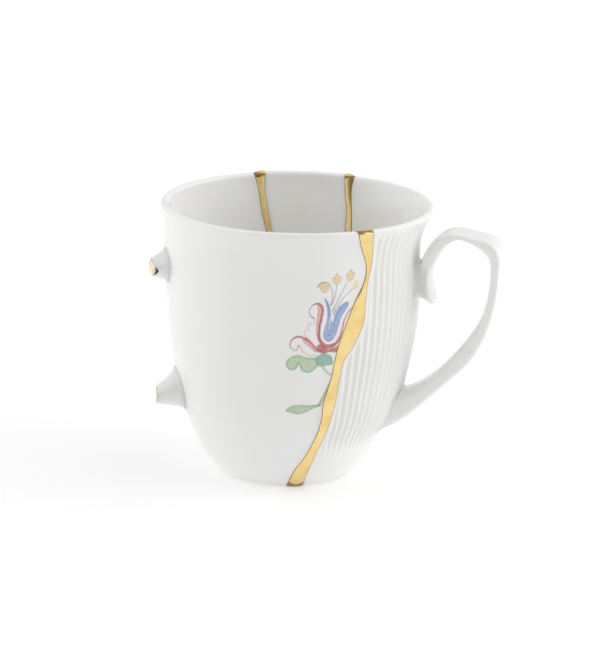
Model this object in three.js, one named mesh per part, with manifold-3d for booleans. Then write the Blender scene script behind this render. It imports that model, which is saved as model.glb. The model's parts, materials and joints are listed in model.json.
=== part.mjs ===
// A porcelain mug put together from shards of different cups and joined with gold, in millimetres.
// It stands on its foot with +Z up. Angles are degrees from its handle, anticlockwise seen from above.
import * as THREE from "three";
import { mergeVertices } from "three/addons/utils/BufferGeometryUtils.js";
import Module from "manifold-3d";

const wasm = await Module();
wasm.setup();

// Cup.
const HEIGHT = 95.9;
const RIM_RADIUS = 45;
const FOOT_RADIUS = 23.2;
const WALL = 2.8;
const LIP_FLAT = 0.5; // flat left on the top of the rounded lip
const FLOOR_TOP = 5.2;
const FLOOR_FILLET = 3;
const FOOT_WIDTH = 3.4;
const FOOT_RECESS = 1.5;
const FOOT_EDGE = 0.7;
const BACK_RISE = 0.5; // the back shard stands this much above its neighbours' rims

// Outer wall of the smooth cup, as shares of the height and of the way from foot to rim radius.
const SMOOTH_WALL = [
  [0, 0], [0.08, 0.28], [0.17, 0.465], [0.27, 0.635], [0.42, 0.765],
  [0.57, 0.853], [0.73, 0.916], [0.88, 0.938], [1, 1],
];
// The ribbed cup was wider and flared: share of the height, and mm outside the smooth wall.
const RIBBED_SWELL = [
  [0, 0], [0.08, 0], [0.17, 0.4], [0.27, 2.1], [0.42, 2.9],
  [0.57, 3.2], [0.73, 2.3], [0.88, 1.8], [0.96, 3.3], [1, 4.9],
];
const SWELL_ANGLE = 13;
const SWELL_FALL = 1.4; // how quickly the swell dies away to either side

// Ribs of the ribbed shard.
const RIBS_PER_TURN = 96;
const RIB_DEPTH = 0.8;
const RIB_CREST = -38.3; // angle of a crest beside the front seam
const RIB_FOOT = [12, 22]; // heights between which the ribs rise out of the wall
const RIB_TOP = [5.5, 1.5]; // depths below the rim between which they run out

// Gold seams, from foot to rim: share of the height, angle of the middle, width in mm.
const FRONT_SEAM = [
  [0, -68.5, 5.5], [0.08, -65.8, 4.9], [0.14, -62, 3.4], [0.22, -58, 3.1], [0.3, -56, 3.3],
  [0.36, -55.3, 4.2], [0.46, -53.4, 3.1], [0.52, -52.4, 3.1], [0.58, -49.4, 5.8],
  [0.66, -45.8, 6.6], [0.74, -43.8, 4.2], [0.815, -40.9, 1.4], [0.87, -39.9, 2.3],
  [0.95, -42.5, 4.8], [1, -43.9, 5.8],
];
const RIGHT_SEAM = [
  [0, 82, 2.6], [0.2, 75, 2], [0.42, 70, 2.5], [0.6, 73.5, 1.9], [0.8, 73.2, 2.3],
  [0.87, 73.2, 2], [0.95, 74.8, 2.3], [1, 75.4, 3.6],
];
const LEFT_SEAM = [
  [0, 104, 2.6], [0.2, 103, 2], [0.42, 108, 2.4], [0.62, 110.5, 1.8], [0.78, 114, 1.9],
  [0.86, 116.4, 2.2], [0.94, 118, 2.2], [1, 118.7, 4],
];
const SEAM_GAP = 0.1; // between the gold and each shard
const FLOOR_SEAM = 2.4; // width of a seam where it reaches the middle of the floor
const HUB_RADIUS = 4; // gold in the middle of the floor, where the three seams meet

// Handle, between the heights of its two roots, reaching out from the wall.
const HANDLE_LOW = 24;
const HANDLE_DROP = 22.9; // from the rim down to the upper root
const HANDLE_REACH = 28;
const HANDLE_WIDTH = 12;
const HANDLE_FOOT = 14; // width of the lower root
const HANDLE_SQUARE = 4; // power of its section's outline: 2 is an oval, and more is squarer
// Its strap: share of the reach, share of the height between the roots, thickness in mm.
const STRAP = [
  [0.245, 0.835, 1.5], [0.18, 0.895, 2.6], [0.1, 1, 3.4], [0.11, 1.12, 4.6], [0.185, 1.24, 4.85],
  [0.3, 1.31, 4], [0.45, 1.33, 2.2], [0.62, 1.31, 2.7], [0.81, 1.27, 4.7],
  [0.925, 1.195, 4.5], [0.965, 1.085, 3.65], [0.985, 0.92, 3.7], [0.965, 0.77, 4],
  [0.9, 0.625, 5.3], [0.76, 0.46, 6.3], [0.545, 0.3, 5.7], [0.335, 0.175, 6.6],
  [0.145, 0.085, 8.8], [-0.05, 0.025, 11.2], [-0.27, -0.02, 13.2],
];
const ROOT_DROP = 23.7; // from the rim down to the middle of the upper root's block
const ROOT_HEIGHT = 12.4;
const ROOT_WIDTH = 11.4;
const ROOT_LENGTH = 4.2;

// Stumps of the smooth shard's lost handle, with gold on their broken ends.
const STUMP_ANGLE = 205;
const STUMP_WIDTH = 9.5;
const STUMP_FLARE = 1.4; // how much wider a stump is where it meets the wall
const UPPER_STUMP = { height: 74, length: 5.4, tip: 5.9, root: 11, rise: 1 };
const LOWER_STUMP = { height: 28.2, length: 8.8, tip: 6.2, root: 14.5, rise: 2.4 };
const CAP_THICKNESS = 0.9;
const CAP_OVERHANG = 0.12;
const CAP_GAP = 0.1;

// Facets.
const WALL_ROWS = [0.035, 0.09, 0.16, 0.24, 0.34, 0.46, 0.59, 0.72, 0.83, 0.91, 0.955];
const PLAIN_STEP = 7.5; // degrees between columns where there are no ribs
const SEAM_ROWS = 20;
const STRAP_SIDES = 12;
const STRAP_ROWS = 28;
const STUMP_SIDES = 14;

const DEG = Math.PI / 180;
const { clamp, lerp, smoothstep } = THREE.MathUtils;

// A smooth curve through rows of [place, value, ...], which returns one of the values at a place.
function curve(rows, column = 1) {
  const slope = (i) => {
    const before = rows[Math.max(i - 1, 0)];
    const after = rows[Math.min(i + 1, rows.length - 1)];
    return (after[column] - before[column]) / (after[0] - before[0]);
  };
  return (place) => {
    const x = clamp(place, rows[0][0], rows.at(-1)[0]);
    const i = Math.min(rows.findLastIndex((row) => row[0] <= x), rows.length - 2);
    const span = rows[i + 1][0] - rows[i][0];
    const t = (x - rows[i][0]) / span;
    const start = rows[i][column] * (1 + 2 * t) * (1 - t) ** 2;
    const end = rows[i + 1][column] * (3 - 2 * t) * t ** 2;
    const bend = slope(i) * t * (1 - t) ** 2 - slope(i + 1) * (1 - t) * t ** 2;
    return start + end + bend * span;
  };
}

const smoothWall = curve(SMOOTH_WALL);
const ribbedSwell = curve(RIBBED_SWELL);

// Radius of the outer wall without its ribs.
function wallRadius(z, angle) {
  const share = z / HEIGHT;
  const toward = Math.max(0, Math.cos((angle - SWELL_ANGLE) * DEG)) ** SWELL_FALL;
  const smooth = lerp(FOOT_RADIUS, RIM_RADIUS, smoothWall(share));
  return smooth + ribbedSwell(share) * toward;
}

// Radius of the inner wall, one wall thickness inside it along the wall's own normal.
function innerRadius(z, angle) {
  const slope = (wallRadius(z + 1, angle) - wallRadius(z - 1, angle)) / 2;
  return wallRadius(z, angle) - WALL * Math.hypot(1, slope);
}

// Half the angle that a seam takes up at a height.
function seamHalfAngle(seam, z) {
  const middle = curve(seam)(z / HEIGHT);
  return curve(seam, 2)(z / HEIGHT) / 2 / wallRadius(z, middle) / DEG;
}

// Depth of the groove at a column: ribs only lie on the ribbed shard, clear of its seams.
function grooveDepth(z, column) {
  const share = z / HEIGHT;
  const first = curve(FRONT_SEAM)(share) + seamHalfAngle(FRONT_SEAM, z);
  const last = curve(RIGHT_SEAM)(share) - seamHalfAngle(RIGHT_SEAM, z);
  if (!column.valley) return 0;
  const pitch = 360 / RIBS_PER_TURN;
  const inside = smoothstep(column.angle, first, first + pitch) * smoothstep(-column.angle, -last, pitch - last);
  const low = smoothstep(z, ...RIB_FOOT);
  const high = smoothstep(HEIGHT - z, RIB_TOP[1], RIB_TOP[0]);
  return RIB_DEPTH * low * high * inside;
}

// Columns once round the cup: crests and valleys by turns along the ribs, wide steps elsewhere.
function wallColumns() {
  const half = 180 / RIBS_PER_TURN;
  const first = Math.floor((curve(FRONT_SEAM)(RIB_FOOT[0] / HEIGHT) - RIB_CREST) / half / 2) * 2;
  const last = Math.ceil((RIGHT_SEAM.at(-1)[1] - RIB_CREST) / half / 2) * 2;
  const columns = [];
  for (let i = first; i <= last; i++) {
    columns.push({ angle: RIB_CREST + i * half, valley: i % 2 !== 0 });
  }
  const left = 360 - (last - first) * half;
  const steps = Math.round(left / PLAIN_STEP);
  for (let i = 1; i < steps; i++) {
    columns.push({ angle: RIB_CREST + last * half + (left * i) / steps, valley: false });
  }
  return columns;
}

// Height of the rim: the back shard's part of it is raised.
function rimHeight(angle) {
  const turned = angle > 180 ? angle - 360 : angle;
  const raised = turned > RIGHT_SEAM.at(-1)[1] && turned < LEFT_SEAM.at(-1)[1];
  return HEIGHT + (raised ? BACK_RISE : 0);
}

const polar = (radius, angle, z) => [radius * Math.cos(angle * DEG), radius * Math.sin(angle * DEG), z];

// A closed solid through rings of points, each anticlockwise about the way they go, with flat ends.
function loft(rings) {
  const sides = rings[0].length;
  const middle = (ring) => [0, 1, 2].map((k) => ring.reduce((sum, p) => sum + p[k], 0) / sides);
  const points = [...rings.flat(), middle(rings[0]), middle(rings.at(-1))];
  const start = points.length - 2;
  const end = points.length - 1;
  const faces = [];
  for (let i = 0; i < sides; i++) {
    const next = (i + 1) % sides;
    faces.push(start, next, i);
    for (let j = 0; j < rings.length - 1; j++) {
      const [a, b] = [j * sides + i, j * sides + next];
      faces.push(a, b, b + sides, a, b + sides, a + sides);
    }
    const top = (rings.length - 1) * sides;
    faces.push(end, top + i, top + next);
  }
  const geometry = new THREE.BufferGeometry();
  geometry.setAttribute("position", new THREE.Float32BufferAttribute(points.flat(), 3));
  geometry.setIndex(faces);
  return geometry;
}

function solidOf(geometry) {
  const plain = geometry.clone();
  plain.deleteAttribute("normal");
  plain.deleteAttribute("uv");
  const merged = mergeVertices(plain, 1e-4);
  return new wasm.Manifold(
    new wasm.Mesh({
      numProp: 3,
      vertProperties: merged.attributes.position.array,
      triVerts: new Uint32Array(merged.index.array),
    }),
  );
}

// Outside of the cup as a full solid: recessed foot, wall, and the outer half of the rounded lip.
function cupOutside() {
  const columns = wallColumns();
  const ring = (place) => columns.map((column) => polar(...place(column)));
  const level = (radius, z) => ring(({ angle }) => [radius, angle, z]);
  const rings = [
    level(FOOT_RADIUS - FOOT_WIDTH - FOOT_RECESS / 2, FOOT_RECESS),
    level(FOOT_RADIUS - FOOT_WIDTH, 0),
    level(FOOT_RADIUS - FOOT_EDGE, 0),
    ring(({ angle }) => [wallRadius(FOOT_EDGE, angle), angle, FOOT_EDGE]),
  ];
  for (const share of WALL_ROWS) {
    const z = share * HEIGHT;
    rings.push(ring((column) => [wallRadius(z, column.angle) - grooveDepth(z, column), column.angle, z]));
  }
  for (const turn of [0, 0.5, Math.acos(LIP_FLAT / WALL) / (Math.PI / 2)]) {
    rings.push(ring(({ angle }) => lipPoint(angle, turn)));
  }
  return loft(rings);
}

// A point of the round lip: turn 0 faces out, 1 is the top, and 2 faces in.
function lipPoint(angle, turn) {
  const z = rimHeight(angle) - WALL / 2;
  const middle = wallRadius(HEIGHT - WALL / 2, angle) - WALL / 2;
  const tilt = (turn * Math.PI) / 2;
  return [middle + (WALL / 2) * Math.cos(tilt), angle, z + (WALL / 2) * Math.sin(tilt)];
}

// Inside of the cup: floor, fillet, wall, and the inner half of the lip, run on past the top.
function cupInside() {
  const angles = Array.from({ length: 360 / PLAIN_STEP }, (_, i) => i * PLAIN_STEP);
  const ring = (place) => angles.map((angle) => polar(...place(angle)));
  const above = FLOOR_TOP + FLOOR_FILLET;
  const rings = [
    ring((angle) => [innerRadius(above, angle) - 2 * FLOOR_FILLET, angle, FLOOR_TOP]),
    ring((angle) => [innerRadius(above, angle) - 0.8 * FLOOR_FILLET, angle, lerp(FLOOR_TOP, above, 0.25)]),
  ];
  for (const share of WALL_ROWS) {
    const z = share * HEIGHT;
    if (z > above - 1) rings.push(ring((angle) => [innerRadius(z, angle), angle, z]));
  }
  const flat = Math.acos(LIP_FLAT / WALL) / (Math.PI / 2);
  for (const turn of [2, 1.5, 2 - flat]) {
    rings.push(ring((angle) => lipPoint(angle, turn)));
  }
  rings.push(ring((angle) => [lipPoint(angle, 2 - flat)[0], angle, HEIGHT + 3]));
  return loft(rings);
}

// A curtain that cuts the cup from its axis outwards along a seam, wider by a margin on each side.
function seamCurtain(seam, margin) {
  const middle = curve(seam);
  const width = curve(seam, 2);
  const rings = [];
  for (let i = 0; i <= SEAM_ROWS; i++) {
    const z = lerp(-2, HEIGHT + 2, i / SEAM_ROWS);
    const angle = middle(z / HEIGHT) * DEG;
    const half = width(z / HEIGHT) / 2 + margin;
    const near = FLOOR_SEAM / 2 + margin;
    const out = 2 * RIM_RADIUS;
    const plan = [[0, -near], [FOOT_RADIUS, -half], [out, -half], [out, half], [FOOT_RADIUS, half], [0, near]];
    rings.push(
      plan.map(([x, y]) => [
        x * Math.cos(angle) - y * Math.sin(angle),
        x * Math.sin(angle) + y * Math.cos(angle),
        z,
      ]),
    );
  }
  return solidOf(loft(rings));
}

// All three seams and the hub where they meet in the floor.
function seams(margin) {
  const hub = new THREE.CylinderGeometry(HUB_RADIUS + margin, HUB_RADIUS + margin, 3 * FLOOR_TOP, 36);
  let all = solidOf(hub.rotateX(Math.PI / 2));
  for (const seam of [FRONT_SEAM, RIGHT_SEAM, LEFT_SEAM]) {
    all = all.add(seamCurtain(seam, margin));
  }
  return all;
}

// A ring round a point, oval at power 2 and squarer above it: across lies in the plane of the path, and the width along Y.
function section([x, z], [ux, uz], thickness, width, sides, power = 2) {
  const square = (value) => Math.sign(value) * Math.abs(value) ** (2 / power);
  return Array.from({ length: sides }, (_, i) => {
    const turn = (i / sides) * 2 * Math.PI;
    const across = (thickness / 2) * square(Math.sin(turn));
    return [x + across * ux, (width / 2) * square(Math.cos(turn)), z + across * uz];
  });
}

// The handle's strap along its path, with its section square to the path. Its free end is rounded like a tongue.
function handleStrap() {
  const high = HEIGHT - HANDLE_DROP;
  const wallLine = (up) => lerp(wallRadius(HANDLE_LOW, 0), wallRadius(high, 0), up);
  const places = STRAP.map(([out, up, thickness], i) => [
    i,
    wallLine(up) + out * HANDLE_REACH,
    lerp(HANDLE_LOW, high, up),
    thickness,
  ]);
  const [x, z, thickness] = [1, 2, 3].map((column) => curve(places, column));
  const last = places.length - 1;
  const rings = [];
  for (let i = 0; i <= STRAP_ROWS; i++) {
    const t = (i / STRAP_ROWS) * last;
    const along = new THREE.Vector2(x(t + 0.1) - x(t - 0.1), z(t + 0.1) - z(t - 0.1)).normalize();
    const tongue = Math.sqrt(1 - (0.8 * Math.max(0, 1 - t)) ** 2);
    const width = tongue * lerp(HANDLE_WIDTH, HANDLE_FOOT, smoothstep(t, last - 4, last));
    rings.push(section([x(t), z(t)], [-along.y, along.x], thickness(t), width, STRAP_SIDES, HANDLE_SQUARE));
  }
  return solidOf(loft(rings));
}

// A ring facing the wall, out from it. It follows the wall's own curves where cling is 1, and is flat at 0.
function wallSection(height, angle, out, tall, wide, cling, sides, power) {
  const wall = wallRadius(height, angle);
  return section([out, height], [0, 1], tall, wide, sides, power).map(([x, y, z]) => {
    const curved = Math.sqrt(wallRadius(z, angle) ** 2 - y ** 2);
    return [x + lerp(wall, curved, cling), y, z];
  });
}

// The upper root: a short block between the wall and the strap.
function upperRoot() {
  const rows = [[-0.5, 1.02, 1], [0.1, 1, 0.98], [0.5, 0.98, 0.99], [1, 0.97, 1.03]];
  const rings = rows.map(([share, tall, wide]) => {
    const cling = 1 - clamp(share, 0, 1);
    const out = share * (share < 0 ? WALL : ROOT_LENGTH);
    const z = HEIGHT - ROOT_DROP;
    return wallSection(z, 0, out, ROOT_HEIGHT * tall, ROOT_WIDTH * wide, cling, STRAP_SIDES, HANDLE_SQUARE);
  });
  return solidOf(loft(rings));
}

// Section of a stump at a distance out from the wall: it narrows all the way, a little faster at first.
function stumpRing(shape, out, grow = 0) {
  const ease = (1 - clamp(out / shape.length, 0, 1)) ** 1.2;
  const height = shape.height + shape.rise * ease;
  const tall = lerp(shape.tip, shape.root, ease) + 2 * grow;
  const wide = STUMP_WIDTH * lerp(1, STUMP_FLARE, ease) + 2 * grow;
  return wallSection(height, STUMP_ANGLE, out, tall, wide, ease, STUMP_SIDES);
}

function stump(shape) {
  const end = shape.length - CAP_THICKNESS - CAP_GAP;
  const places = [-WALL / 2, 0, 0.25 * end, 0.5 * end, 0.75 * end, end];
  const rings = places.map((out) => stumpRing(shape, out));
  return solidOf(loft(rings).rotateZ(STUMP_ANGLE * DEG));
}

// Gold over a stump's end: a plate a little larger than the end, with a rounded face.
function stumpCap(shape) {
  const rows = [[-CAP_THICKNESS, CAP_OVERHANG], [-0.4 * CAP_THICKNESS, CAP_OVERHANG], [0, -0.6], [0.25, -1.8]];
  const rings = rows.map(([back, grow]) => stumpRing(shape, shape.length + back, grow));
  return solidOf(loft(rings).rotateZ(STUMP_ANGLE * DEG));
}

function porcelain(color) {
  return new THREE.MeshStandardMaterial({ color, roughness: 0.12, metalness: 0 });
}

function gold() {
  return new THREE.MeshStandardMaterial({ color: 0xe0b765, roughness: 0.22, metalness: 1 });
}

function meshOf(name, solid, material) {
  const { numProp, vertProperties, triVerts } = solid.getMesh();
  if (numProp !== 3) throw new Error(`${name} has more than positions`);
  const geometry = new THREE.BufferGeometry();
  geometry.setAttribute("position", new THREE.BufferAttribute(vertProperties, 3));
  geometry.setIndex(new THREE.BufferAttribute(triVerts, 1));
  geometry.computeVertexNormals();
  const mesh = new THREE.Mesh(geometry, material);
  mesh.name = name;
  return mesh;
}

// The whole cup is made in one, then parted along its seams.
const whole = [handleStrap(), upperRoot(), stump(UPPER_STUMP), stump(LOWER_STUMP)]
  .reduce((cup, piece) => cup.add(piece), solidOf(cupOutside()))
  .subtract(solidOf(cupInside()));
const shards = whole.subtract(seams(SEAM_GAP)).decompose();
if (shards.length !== 3) throw new Error(`the seams part the cup into ${shards.length} pieces, not 3`);
const [backShard, ribbedShard, smoothShard] = shards.sort((a, b) => a.volume() - b.volume());

const mug = new THREE.Group();
mug.name = "mug";
mug.add(
  meshOf("smooth_shard", smoothShard, porcelain(0xe9e8e5)),
  meshOf("back_shard", backShard, porcelain(0xe6e5e1)),
  meshOf("ribbed_shard", ribbedShard, porcelain(0xeeeeec)),
  meshOf("gold_seam", whole.intersect(seams(0)), gold()),
  meshOf("gold_cap_upper", stumpCap(UPPER_STUMP), gold()),
  meshOf("gold_cap_lower", stumpCap(LOWER_STUMP), gold()),
);

// The part's origin is under the middle of everything, handle and stumps included.
const middle = new THREE.Box3().setFromObject(mug).getCenter(new THREE.Vector3());
mug.position.set(-middle.x, -middle.y, 0);

const group = new THREE.Group();
group.name = "kintsugi_mug";
group.add(mug);

export default group;
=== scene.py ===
"""A porcelain mug put together from shards of different cups and joined with gold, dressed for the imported
frame. Shapes are worked out in millimetres about the mug's own upright axis, with angles in degrees from the
handle, anticlockwise seen from above, and placed in the frame in metres."""

import bpy
import numpy as np
from mathutils import Matrix
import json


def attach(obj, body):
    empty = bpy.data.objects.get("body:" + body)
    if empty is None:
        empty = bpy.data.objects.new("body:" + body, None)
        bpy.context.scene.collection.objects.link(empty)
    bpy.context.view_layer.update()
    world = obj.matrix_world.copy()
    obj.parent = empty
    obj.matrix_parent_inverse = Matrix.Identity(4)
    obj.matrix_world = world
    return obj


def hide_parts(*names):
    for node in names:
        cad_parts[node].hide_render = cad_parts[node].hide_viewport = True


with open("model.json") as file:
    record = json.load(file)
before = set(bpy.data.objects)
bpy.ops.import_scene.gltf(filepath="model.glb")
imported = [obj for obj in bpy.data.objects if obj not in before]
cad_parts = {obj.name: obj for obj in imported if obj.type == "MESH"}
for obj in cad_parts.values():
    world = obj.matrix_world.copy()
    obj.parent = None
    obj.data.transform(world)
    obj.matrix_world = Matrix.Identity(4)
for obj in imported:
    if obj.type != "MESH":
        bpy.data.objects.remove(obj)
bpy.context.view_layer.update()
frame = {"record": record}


# Smooth shard, the left half of the mug.
# Bone china cast in a mould: one wall that bends in to a ringed foot, rounded over at the lip.
# It was broken from its own cup and fitted to the other shards, so its two long edges are a little rounded.
HEIGHT = 95.9
RIM_RADIUS = 45
FOOT_RADIUS = 23.2
WALL = 2.8
FLOOR_TOP = 5.2
FLOOR_FILLET = 3
FOOT_WIDTH = 3.4
FOOT_RECESS = 1.5
FOOT_EDGE = 0.7
LIP_BASE = HEIGHT - WALL / 2

# Outer wall, as shares of the height and of the way from foot to rim radius.
SMOOTH_WALL = [
    (0, 0), (0.08, 0.28), (0.17, 0.465), (0.27, 0.635), (0.42, 0.765),
    (0.57, 0.853), (0.73, 0.916), (0.88, 0.938), (1, 1),
]
# The ribbed cup was wider and flared: share of the height, and mm outside the smooth wall.
RIBBED_SWELL = [
    (0, 0), (0.08, 0), (0.17, 0.4), (0.27, 2.1), (0.42, 2.9),
    (0.57, 3.2), (0.73, 2.3), (0.88, 1.8), (0.96, 3.3), (1, 4.9),
]
SWELL_ANGLE = 13
SWELL_FALL = 1.4

# Lines that the cup is broken along, from foot to rim: share of the height, angle of the middle, width in mm.
FRONT_SEAM = [
    (0, -68.5, 5.5), (0.08, -65.8, 4.9), (0.14, -62, 3.4), (0.22, -58, 3.1), (0.3, -56, 3.3),
    (0.36, -55.3, 4.2), (0.46, -53.4, 3.1), (0.52, -52.4, 3.1), (0.58, -49.4, 5.8),
    (0.66, -45.8, 6.6), (0.74, -43.8, 4.2), (0.815, -40.9, 1.4), (0.87, -39.9, 2.3),
    (0.95, -42.5, 4.8), (1, -43.9, 5.8),
]
RIGHT_SEAM = [
    (0, 82, 2.6), (0.2, 75, 2), (0.42, 70, 2.5), (0.6, 73.5, 1.9), (0.8, 73.2, 2.3),
    (0.87, 73.2, 2), (0.95, 74.8, 2.3), (1, 75.4, 3.6),
]
LEFT_SEAM = [
    (0, 104, 2.6), (0.2, 103, 2), (0.42, 108, 2.4), (0.62, 110.5, 1.8), (0.78, 114, 1.9),
    (0.86, 116.4, 2.2), (0.94, 118, 2.2), (1, 118.7, 4),
]
SEAM_GAP = 0.03  # hairline between the gold and each shard
FLOOR_SEAM = 2.4
HUB_RADIUS = 4
EDGE_ROUND = 0.35  # rounding of a shard's long edges

foot = frame["record"]["mounts"][0]["pos_m"]
RING_MIDDLE = FOOT_RADIUS - (FOOT_EDGE + FOOT_WIDTH) / 2
MUG_AXIS = np.array([foot[0] * 1000 + RING_MIDDLE, foot[1] * 1000, 0])


def smoothstep(x, low, high):
    t = np.clip((x - low) / (high - low), 0, 1)
    return t * t * (3 - 2 * t)


def curve(rows, column=1):
    """Smooth curve through rows of (place, value, ...): a cubic between each two rows, whose slope at a row
    is the rise between its neighbours over their run."""
    table = np.asarray(rows, float)
    x, y = table[:, 0], table[:, column]
    last = len(x) - 1
    before, after = np.maximum(np.arange(last + 1) - 1, 0), np.minimum(np.arange(last + 1) + 1, last)
    slope = (y[after] - y[before]) / (x[after] - x[before])

    def at(place):
        p = np.clip(place, x[0], x[-1])
        i = np.clip(np.searchsorted(x, p, side="right") - 1, 0, last - 1)
        span = x[i + 1] - x[i]
        t = (p - x[i]) / span
        ends = y[i] * (1 + 2 * t) * (1 - t) ** 2 + y[i + 1] * (3 - 2 * t) * t**2
        return ends + span * (slope[i] * t * (1 - t) ** 2 - slope[i + 1] * (1 - t) * t**2)

    return at


smooth_wall, ribbed_swell = curve(SMOOTH_WALL), curve(RIBBED_SWELL)


def wall_radius(z, angle):
    """Foot to rim radius by the smooth cup's curve, plus the ribbed cup's swell times the cosine of the angle
    from its middle, to a power, and nothing on the far half."""
    toward = np.maximum(0, np.cos(np.radians(angle - SWELL_ANGLE))) ** SWELL_FALL
    smooth = FOOT_RADIUS + (RIM_RADIUS - FOOT_RADIUS) * smooth_wall(z / HEIGHT)
    return smooth + ribbed_swell(z / HEIGHT) * toward


def wall_slope(z, angle):
    return (wall_radius(z + 0.5, angle) - wall_radius(z - 0.5, angle)) / np.minimum(1, HEIGHT - z + 0.5)


def bezier(t, *corners):
    """Cubic through the first and last of four (radius, z) corners, pulled towards the middle two."""
    a, b, c, d = [np.stack(np.broadcast_arrays(*corner)) for corner in corners]
    return a * (1 - t) ** 3 + 3 * b * t * (1 - t) ** 2 + 3 * c * t**2 * (1 - t) + d * t**3


def lip(t, side, angle):
    """Quarter of the rounded lip, from the wall at t = 0, along the wall's own slope, to the level top at t =
    1."""
    slope = wall_slope(LIP_BASE, angle)
    outer = wall_radius(LIP_BASE, angle)
    start = outer if side > 0 else outer - WALL
    top = outer - WALL / 2 + 0.3 * slope * WALL / 2
    pull = 0.55 * WALL / 2
    steep, flat = (start + slope * pull, LIP_BASE + pull), (top + side * pull, HEIGHT)
    return bezier(t, (start, LIP_BASE), steep, flat, (top, HEIGHT))


def outside(place, angle):
    """(radius, z) of the cup's outside. Place runs 0 to 1 along the recessed underside, to 2 round the foot
    ring, to 3 up the wall, and to 4 over the outer half of the lip."""
    place, angle = np.broadcast_arrays(place, angle)
    ring_inside = FOOT_RADIUS - FOOT_WIDTH
    recess = ring_inside - FOOT_RECESS
    ring = [
        (0, recess, FOOT_RECESS), (0.14, recess + 0.7, 1.3), (0.3, ring_inside, 0.25),
        (0.42, ring_inside + 0.5, 0), (0.74, FOOT_RADIUS - FOOT_EDGE - 0.3, 0), (0.88, FOOT_RADIUS - 0.25, 0.2),
        (1, wall_radius(FOOT_EDGE, 0), FOOT_EDGE),
    ]
    z = FOOT_EDGE + (LIP_BASE - FOOT_EDGE) * np.clip(place - 2, 0, 1)
    under = (HUB_RADIUS + (recess - HUB_RADIUS) * place, np.full(place.shape, float(FOOT_RECESS)))
    foot_ring = (curve(ring, 1)(place - 1), np.maximum(0, curve(ring, 2)(place - 1)))
    return np.where(place < 1, under, np.where(place < 2, foot_ring, np.where(
        place <= 3, (wall_radius(z, angle), z), lip(np.clip(place - 3, 0, 1), 1, angle))))


def inner_radius(z, angle):
    """One wall thickness inside the outer wall, square to it, and level with it at the lip."""
    square = np.hypot(1, wall_slope(z, angle))
    return wall_radius(z, angle) - WALL * (square + (1 - square) * smoothstep(z, LIP_BASE - 7, LIP_BASE))


def inside(place, angle):
    """(radius, z) of the cup's inside, at the same places: floor, fillet, wall and the inner half of the
    lip."""
    place, angle = np.broadcast_arrays(place, angle)
    above = FLOOR_TOP + FLOOR_FILLET
    corner = inner_radius(above, angle)
    slope = wall_slope(above, angle)
    floor_end = corner - 2 * FLOOR_FILLET
    z = above + (LIP_BASE - above) * np.clip(place - 2, 0, 1)
    floor = (HUB_RADIUS + (floor_end - HUB_RADIUS) * place, np.full(place.shape, float(FLOOR_TOP)))
    fillet = bezier(
        np.clip(place - 1, 0, 1), (floor_end, FLOOR_TOP), (floor_end + 0.9 * FLOOR_FILLET, FLOOR_TOP),
        (corner - slope * 1.3, above - 1.3), (corner, above))
    return np.where(place < 1, floor, np.where(place < 2, fillet, np.where(
        place <= 3, (inner_radius(z, angle), z), lip(np.clip(place - 3, 0, 1), -1, angle))))


def places(heights):
    """Rows from the hub to the top of the lip, with the wall's rows at the given heights."""
    wall = 2 + (np.asarray(heights) - FOOT_EDGE) / (LIP_BASE - FOOT_EDGE)
    under, ring, lip_rows = np.linspace(0, 1, 7)[:-1], np.linspace(1, 2, 15)[:-1], np.linspace(3, 4, 9)[1:]
    return np.concatenate([under, ring, wall, lip_rows])


def seam_half(seam, radius, z):
    """Half the seam's width: from the floor's width at the axis to its own at the foot's radius and
    beyond."""
    share = np.clip(radius / FOOT_RADIUS, 0, 1)
    return FLOOR_SEAM / 2 * (1 - share) + curve(seam, 2)(z / HEIGHT) / 2 * share


def seam_edge(seam, side, radius, z):
    """Angle of a shard's edge beside a seam: the middle of the seam, and to one side its half width and the
    gap."""
    half = seam_half(seam, radius, z) + SEAM_GAP
    return curve(seam)(z / HEIGHT) + side * np.degrees(np.arcsin(half / radius))


def polar(radius, angle, z):
    """Points at a radius and an angle about the mug's axis, and at a height."""
    turn = np.radians(angle)
    return np.stack(np.broadcast_arrays(radius * np.cos(turn), radius * np.sin(turn), z), axis=-1)


def normals(grid):
    """Unit normals of a grid of points: its run from column to column crossed with its run from row to
    row."""
    n = np.cross(np.gradient(grid, axis=1), np.gradient(grid, axis=0))
    return n / np.maximum(np.linalg.norm(n, axis=-1, keepdims=True), 1e-9)


def join(*parts):
    """One (points, quads, triangles) out of several, with their numbering carried on."""
    counts = np.cumsum([0] + [len(part[0]) for part in parts])
    return (np.concatenate([part[0] for part in parts]),
            np.concatenate([part[1] + start for part, start in zip(parts, counts)]),
            np.concatenate([part[2] + start for part, start in zip(parts, counts)]))


def shell(outer, inner, keep):
    """A wall from an outer and an inner grid of rows and columns, which share their last row, the lip's top.
    The inner grid has only the outer's rows in keep. The hub side and both long edges are closed."""
    rows, columns = outer.shape[:2]
    loop = np.concatenate([outer, inner[:-1][::-1]])
    index = np.arange(loop.shape[0] * columns).reshape(-1, columns)
    after = np.roll(index, -1, axis=0)
    quads = np.stack([index[:, :-1], index[:, 1:], after[:, 1:], after[:, :-1]], axis=-1).reshape(-1, 4)
    across = index[np.concatenate([np.arange(len(index) - 1, rows - 1, -1), [rows - 1]])]
    reached = np.searchsorted(keep, np.arange(rows))
    caps = []
    for column, turn in ((0, 1), (columns - 1, -1)):
        o, i = index[:rows, column], across[:, column]
        climb = np.stack([o[:-1], o[1:], i[reached[1:]]], axis=-1)
        stepped = reached[1:] > reached[:-1]
        step = np.stack([o[:-1], i[reached[1:]], i[reached[:-1]]], axis=-1)[stepped]
        caps.append(np.concatenate([climb[climb[:, 1] != climb[:, 2]], step])[:, ::turn])
    return loop.reshape(-1, 3), quads, np.concatenate(caps)


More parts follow.
